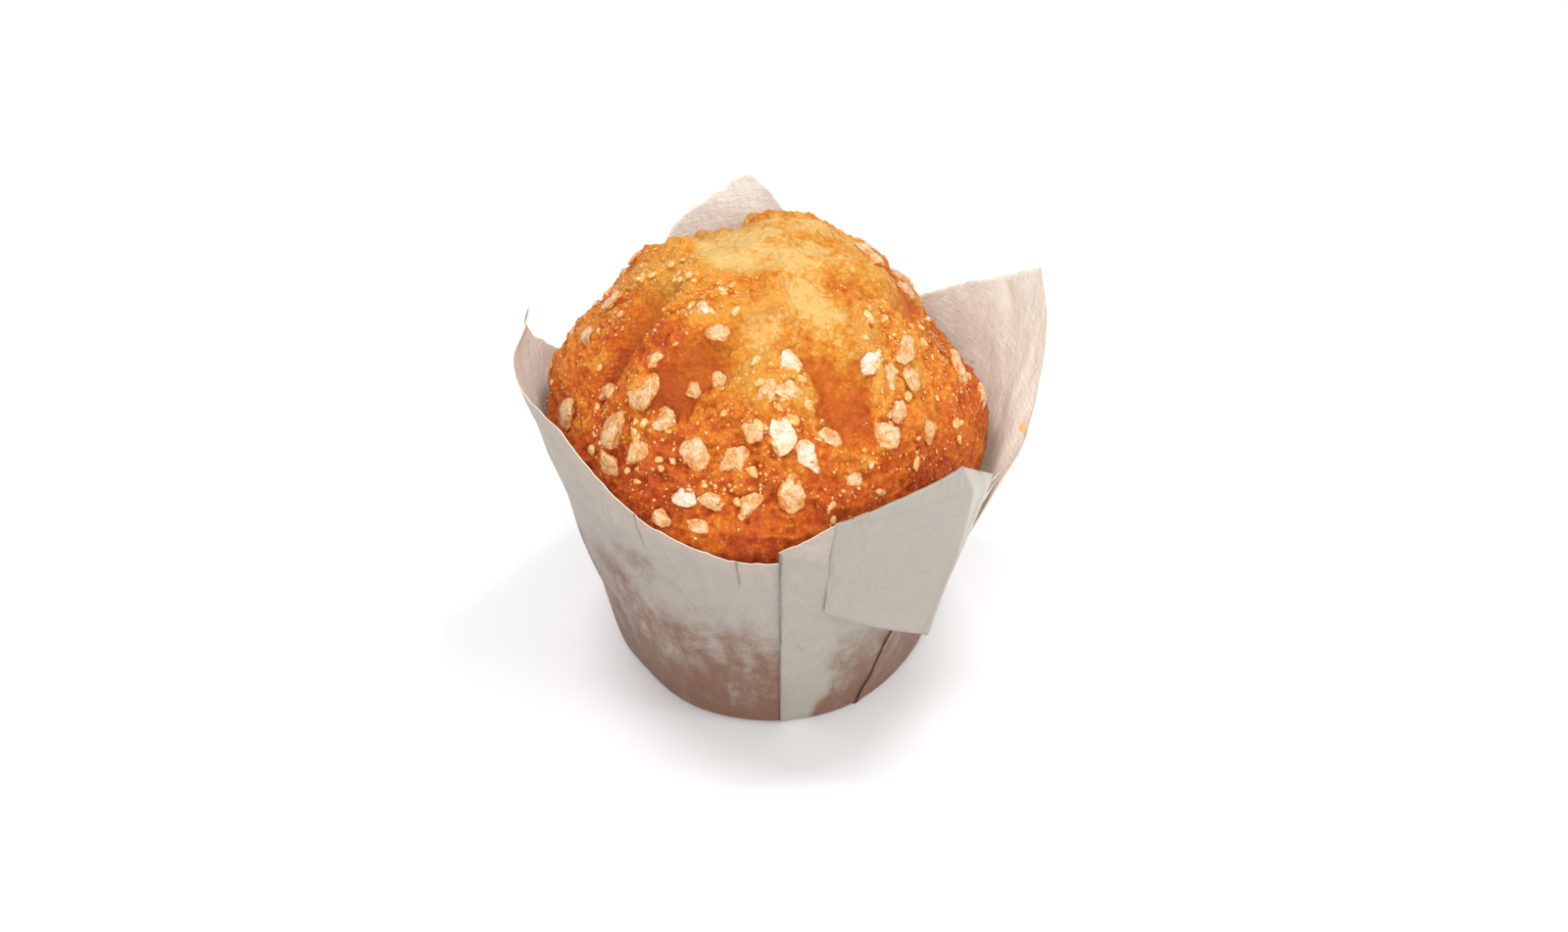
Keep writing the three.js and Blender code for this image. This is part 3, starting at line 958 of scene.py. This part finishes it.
def sugar_nib(draw, radius, outward, directions):
    """A nib's points round its own middle: a worn crystal of random facets, knobbly like several
    grown together and flattened onto the crust. Knobs swell by 1 minus the square of the angle to
    the nearest of some random directions."""
    facets = unit(draw.normal(size=(NIB_FACETS, 3)))
    sizes = draw.uniform(0.72, 1.12, NIB_FACETS)
    shape = grain_radius(directions, facets, sizes, 22)
    knobs = unit(draw.normal(size=(NIB_KNOBS, 3)))
    nearest = np.arccos(np.clip(directions @ knobs.T, -1, 1)).min(axis=1)
    swell = 0.12 * (1 - (nearest / 0.5) ** 2).clip(-0.6, 1)
    pits = 0.05 * rough(directions * 3 + draw.uniform(0, 50, 3), 0.6, 2, 71)
    local = directions * (shape + swell + pits).clip(0.4, 1.6)[:, None]
    spread = [draw.uniform(1.05, 1.45), draw.uniform(0.85, 1.1), draw.uniform(0.36, 0.48)]
    axes = random_axes(draw, outward)
    return (local * spread * radius) @ axes, local[:, 2] * 0.5 + 0.5


def dome_outward(point):
    """The crust's outward direction at a place on the dome."""
    away = np.array([point[0] - MUFFIN_SHIFT[0], point[1] - MUFFIN_SHIFT[1]]) / EQUATOR_RADIUS
    steep = min(np.hypot(*away), 0.98)
    return unit(np.array([away[0], away[1], math.sqrt(1 - steep**2)]))


def large_nibs(crust):
    """One piece for each CAD nib, set on the crust nearest to the nib's middle."""
    draw = np.random.default_rng(NIB_SEED)
    directions, faces = icosphere(4)
    melted = sugar_finish("melted_sugar", (0.68, 0.21, 0.02), (0.72, 0.31, 0.075), (0.80, 0.53, 0.29))
    white = sugar_finish("white_sugar", (0.86, 0.42, 0.16), (0.82, 0.57, 0.36), (0.80, 0.69, 0.58))
    flat = crust.reshape(-1, 3)
    names = sorted(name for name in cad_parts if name.startswith("sugar_nib_"))
    for name in names:
        low, high = (np.array(corner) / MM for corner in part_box(name))
        middle, radius = (low + high) / 2, (high - low).mean() / 2
        spot = flat[np.linalg.norm(flat - middle, axis=1).argmin()]
        outward = dome_outward(spot)
        shape, rise = sugar_nib(draw, radius * NIB_SWELL, outward, directions)
        points = spot + outward * radius * NIB_LIFT + shape
        sugar = white if name[-2:] in WHITE_NIBS else melted
        nib_name = name.replace("sugar_nib", "pearl_nib")
        nib = make_piece(nib_name, points, [faces], [sugar], {"rise": rise})
        settle(nib, "pearl_sugar", name)


def strewn(name, sugar, draw, crust, weights, count, sizes, levels, sharpness):
    """Many small grains in one piece: a few-faced worn crystal at each of count crust points drawn
    by weight, half sunk, each with its own size and turn."""
    directions, faces = icosphere(levels)
    flat = crust.reshape(-1, 3)
    picks = draw.choice(len(flat), count, replace=False, p=weights.ravel() / weights.sum())
    all_points, all_rise = [], []
    for spot in flat[picks]:
        outward = dome_outward(spot)
        radius = draw.uniform(*sizes)
        facets = unit(draw.normal(size=(GRAIN_FACETS, 3)))
        distances = draw.uniform(0.7, 1.1, GRAIN_FACETS)
        shape = grain_radius(directions, facets, distances, sharpness)
        local = directions * shape.clip(0.5, 1.4)[:, None] * [draw.uniform(1.1, 1.7), 1, 0.6]
        turned = radius * local @ random_axes(draw, outward)
        all_points.append(spot + outward * radius * 0.15 + turned)
        all_rise.append(local[:, 2] * 0.4 + 0.6)
    steps = np.arange(count)[:, None, None] * len(directions)
    every_face = (faces[None] + steps).reshape(-1, 3)
    piece = make_piece(
        name, np.concatenate(all_points), [every_face], [sugar], {"rise": np.concatenate(all_rise)}
    )
    settle(piece, "pearl_sugar")


def fine_sugar(crust, bare):
    """Splinters and crystals between the nibs: on the crust, hardly any in the cracks."""
    height = crust[..., 2]
    cell = np.linalg.norm(np.roll(crust, -1, axis=1) - crust, axis=-1)
    patchy = 0.4 * smoothstep(rough(crust, 9, 2, 81), -0.4, 0.7)
    for x, y, radius in FROSTED:
        patchy = patchy + spot_share(crust, x, y, radius)
    weights = cell * (1 - bare) ** 3 * smoothstep(height, 50, 60) * (0.06 + patchy)
    tints = (0.86, 0.30, 0.035), (0.92, 0.44, 0.10), (0.95, 0.62, 0.30)
    golden = sugar_finish("golden_sugar", *tints, glow=0.0)
    draw = np.random.default_rng(GRAIN_SEED)
    shared = (golden, draw, crust, weights)
    strewn("sugar_splinters", *shared, count=150, sizes=(0.35, 0.8), levels=1, sharpness=16)
    strewn("sugar_crystals", *shared, count=2000, sizes=(0.1, 0.28), levels=0, sharpness=8)


def stray_crumb():
    """A crumb caught on the edge of the right-hand petal, shaped as a nib is."""
    directions, faces = icosphere(3)
    outward = polar(1, CRUMB_PLACE[1], 0)
    shape, _ = sugar_nib(np.random.default_rng(CRUMB_SEED), CRUMB_RADIUS, outward, directions)
    golden = Finish("golden_crumb").finish(Base_Color=(0.85, 0.45, 0.08), Roughness=0.5)
    crumb = make_piece("stray_crumb", polar(*CRUMB_PLACE) + shape, [faces], [golden])
    settle(crumb, "crust")


# ---- Stage, lights and camera ----

FLOOR_REACH = 3.0  # metres from the middle to each side
FLOOR_GLOW = 0.06
WORLD_LIGHT = 0.46
# Square softboxes, in metres and watts: name, place, side and power.
SOFTBOXES = [
    ("front_key", (-0.08, -0.85, 0.42), 0.5, 4.7),
    ("right_fill", (0.76, -0.3, 0.34), 0.4, 2.3),
    ("left_top", (-0.24, 0.09, 0.8), 0.2, 2.6),
    ("right_top", (0.24, 0.09, 0.8), 0.2, 2.6),
]
SOFTBOX_AIM = Vector((0, 0, 0.05))


def build_stage():
    """A white floor, a white world and the softboxes."""
    mesh = bpy.data.meshes.new("floor")
    corners = [(-1, -1), (1, -1), (1, 1), (-1, 1)]
    mesh.from_pydata([(x * FLOOR_REACH, y * FLOOR_REACH, 0) for x, y in corners], [], [(0, 1, 2, 3)])
    white = Finish("white_floor").finish(
        Base_Color=(0.9, 0.9, 0.9),
        Roughness=0.9,
        Emission_Color=(1.0, 1.0, 1.0),
        Emission_Strength=FLOOR_GLOW,
    )
    mesh.materials.append(white)
    floor = bpy.data.objects.new("floor", mesh)
    bpy.context.scene.collection.objects.link(floor)
    world = bpy.data.worlds.new("studio")
    bpy.context.scene.world = world
    world.use_nodes = True
    background = world.node_tree.nodes["Background"]
    background.inputs["Color"].default_value = (1, 1, 1, 1)
    background.inputs["Strength"].default_value = WORLD_LIGHT
    for name, place, side, power in SOFTBOXES:
        light = bpy.data.lights.new(name, "AREA")
        light.size = side
        light.energy = power
        lamp = bpy.data.objects.new(name, light)
        lamp.location = place
        lamp.rotation_euler = (SOFTBOX_AIM - Vector(place)).to_track_quat("-Z", "Y").to_euler()
        bpy.context.scene.collection.objects.link(lamp)


CAMERA_ELEVATION = math.radians(37)
CAMERA_DISTANCE = 0.69
CAMERA_AIM = Vector((0.00183, 0, 0.0378))


def build_camera():
    """A camera at the front, looking down on the muffin from its elevation."""
    back = Vector((0, -math.cos(CAMERA_ELEVATION), math.sin(CAMERA_ELEVATION)))
    data = bpy.data.cameras.new("camera")
    data.lens = 85
    data.sensor_width = 36
    camera = bpy.data.objects.new("camera", data)
    camera.location = CAMERA_AIM + back * CAMERA_DISTANCE
    camera.rotation_euler = (-back).to_track_quat("-Z", "Y").to_euler()
    bpy.context.scene.collection.objects.link(camera)
    bpy.context.scene.camera = camera
    bpy.context.scene.view_settings.view_transform = "Standard"


build_camera()
build_stage()
crust_points, crust_bare = muffin_body()
paper_case()
large_nibs(crust_points)
fine_sugar(crust_points, crust_bare)
stray_crumb()
